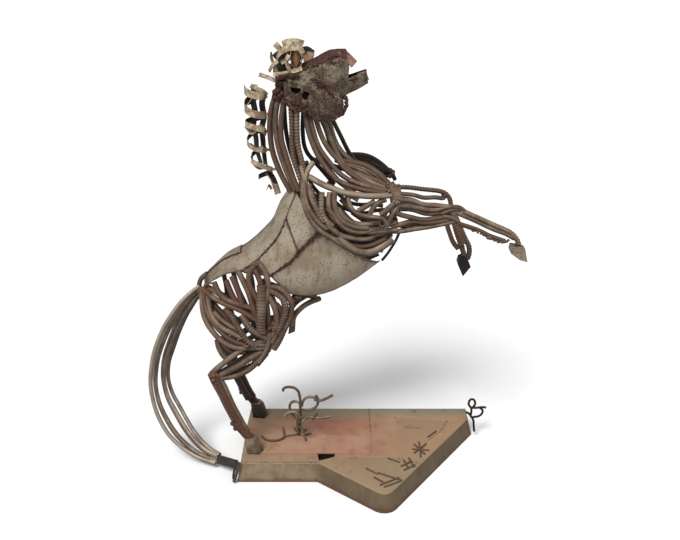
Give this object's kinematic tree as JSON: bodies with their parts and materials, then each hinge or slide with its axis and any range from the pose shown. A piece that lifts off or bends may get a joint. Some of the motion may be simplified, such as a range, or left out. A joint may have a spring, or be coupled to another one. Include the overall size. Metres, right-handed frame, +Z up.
{
  "type": "welded metal horse sculpture",
  "caption": "Rearing horse of bent bars, strips and sheet welded together, standing on its hind hooves on a hollow plate plinth; free-standing ornament.",
  "frame": {"origin": "on the floor, under the middle of the whole work's box", "axes": "+Z up, the longest extent; +X the way the horse faces; -Y its near side, the shortest extent"},
  "size_m": [1.113, 0.4954, 1.2828],
  "materials": {
    "bar": "taupe weathered steel bar with a thin brown patina",
    "rusty_bar": "red-brown rust on steel bar",
    "dark_bar": "nearly black scale on steel bar",
    "tail_bar": "smooth grey-brown round bar",
    "body_plate": "grey-beige weathered sheet",
    "head_plate": "grey-green pitted plate",
    "head_weld": "maroon-brown lumpy weld",
    "copper_plate": "warm copper-brown sheet",
    "mane_strip": "cream and tan bare strip",
    "hoof": "ground steel block",
    "dark_hoof": "black scaled steel block",
    "plinth_top": "orange-pink rust bloom on plate",
    "plinth_side": "olive-brown weathered plate"
  },
  "bodies": {
    "root": {"back_plate_far": "body_plate", "back_plate_near": "body_plate", "belly_plate_near": "body_plate", "breast_rod_far": "dark_bar", "breast_rod_near": "dark_bar", "cheek_plate_far": "head_plate", "cheek_plate_near": "head_plate", "chest_bars_far": "bar", "chest_bars_near": "bar", "chin_plate": "copper_plate", "corner_scroll": "dark_bar", "croup_strip": "body_plate", "ear_far": "mane_strip", "ear_near": "mane_strip", "face_plate_far": "head_plate", "face_plate_near": "head_plate", "flank_plate_far": "body_plate", "flank_plate_near": "body_plate", "forearm_far": "bar", "forearm_near": "bar", "foreleg_far": "rusty_bar", "foreleg_near": "bar", "forelock": "mane_strip", "gaskin_bars_far": "bar", "gaskin_bars_near": "bar", "hind_cannon_far": "rusty_bar", "hind_cannon_near": "rusty_bar", "hoof_fore_far": "dark_hoof", "hoof_fore_near": "hoof", "hoof_hind_far": "hoof", "hoof_hind_near": "hoof", "knee_plate_far": "copper_plate", "knee_plate_near": "copper_plate", "lip_plate": "copper_plate", "lower_jaw": "head_plate", "mane_coil": "mane_strip", "neck_bars_far": "bar", "neck_bars_near": "bar", "nose_bridge": "head_plate", "plinth_corner_bar": "dark_bar", "plinth_side_band": "plinth_side", "plinth_top_front": "plinth_top", "plinth_top_left": "plinth_top", "plinth_top_right": "plinth_top", "poll_weld": "head_weld", "rib_plate_near": "body_plate", "scroll_rods": "bar", "shoulder_rings_far": "bar", "shoulder_rings_near": "bar", "stifle_bars_far": "rusty_bar", "stifle_bars_near": "rusty_bar", "stifle_plate_far": "rusty_bar", "stifle_plate_near": "rusty_bar", "tail": "tail_bar", "tail_lug": "dark_bar", "temple_plate_far": "head_weld", "temple_plate_near": "head_weld", "thigh_bars_far": "rusty_bar", "thigh_bars_near": "rusty_bar", "throat_plate": "head_weld"}
  },
  "joints": []
}
